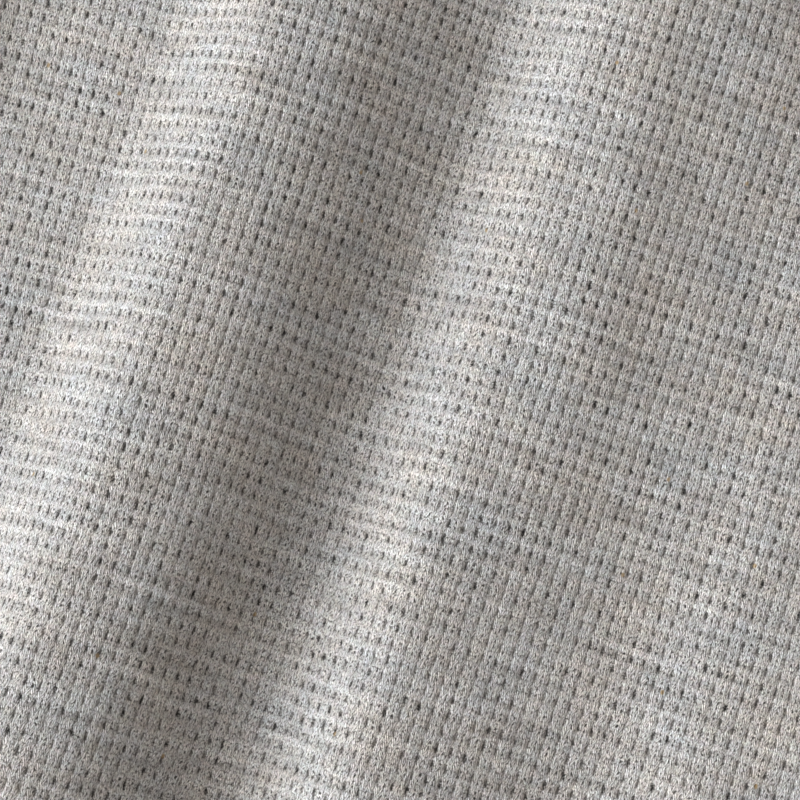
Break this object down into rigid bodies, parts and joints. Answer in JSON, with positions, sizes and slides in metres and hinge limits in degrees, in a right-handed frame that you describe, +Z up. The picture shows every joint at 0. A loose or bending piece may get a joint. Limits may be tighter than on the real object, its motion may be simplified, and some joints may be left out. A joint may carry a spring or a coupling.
{
  "type": "long-sleeved thermal top",
  "caption": "Long-sleeved crew-neck thermal top in heather grey waffle knit, laid flat on its back with soft lengthwise folds down the front.",
  "frame": {"origin": "on the underside of the back panel, at the middle of the body between the hem and the neck, where the top rests", "axes": "+Z up, out of the front; +Y from the hem to the neck; +X towards the wearer's left sleeve"},
  "size_m": [1.2891, 0.695, 0.0223],
  "materials": {
    "waffle_knit": "heather light-grey cotton waffle knit, soft matt nap",
    "rib_knit": "heather light-grey cotton rib, matt"
  },
  "bodies": {
    "root": {"front": "waffle_knit", "back": "waffle_knit", "sleeve_left": "waffle_knit", "sleeve_right": "waffle_knit", "neckband": "rib_knit", "cuff_left": "rib_knit", "cuff_right": "rib_knit"}
  },
  "joints": []
}
